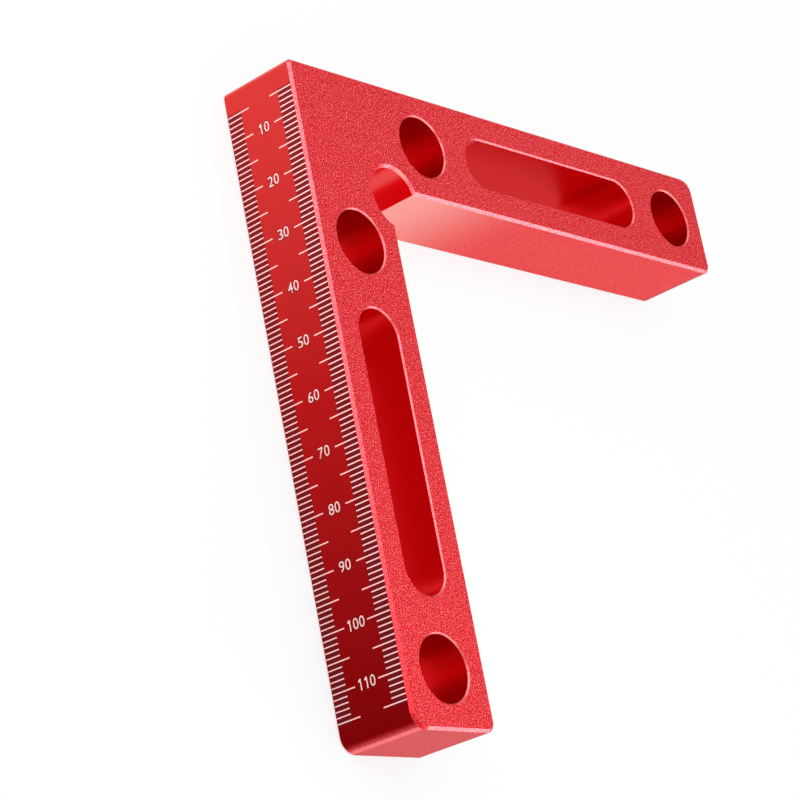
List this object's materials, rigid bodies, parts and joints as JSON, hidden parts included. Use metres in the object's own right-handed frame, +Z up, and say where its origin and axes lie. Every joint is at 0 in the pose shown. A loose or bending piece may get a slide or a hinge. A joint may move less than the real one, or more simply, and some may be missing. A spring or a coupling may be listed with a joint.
{
  "type": "corner clamping square",
  "caption": "L-shaped aluminium positioning square with clamp bores, long slots, a relieved inner corner and a millimetre scale.",
  "frame": {"origin": "the outer corner of the L, where the planes of the two outer faces meet, on the bottom face", "axes": "+X runs along the left leg from the outer corner to its end, +Y along the right leg, and +Z points up from the bottom large face to the top one. The outer faces lie on y = 0 and x = 0."},
  "size_m": [0.12, 0.12, 0.0165],
  "materials": {
    "anodised_body": "bead-blasted and red anodised, satin",
    "scale_marks": "laser-etched, pale"
  },
  "bodies": {
    "root": {"body": "anodised_body", "marks_left_upper": "scale_marks", "marks_left_lower": "scale_marks", "marks_right_upper": "scale_marks", "marks_right_lower": "scale_marks"}
  },
  "joints": []
}
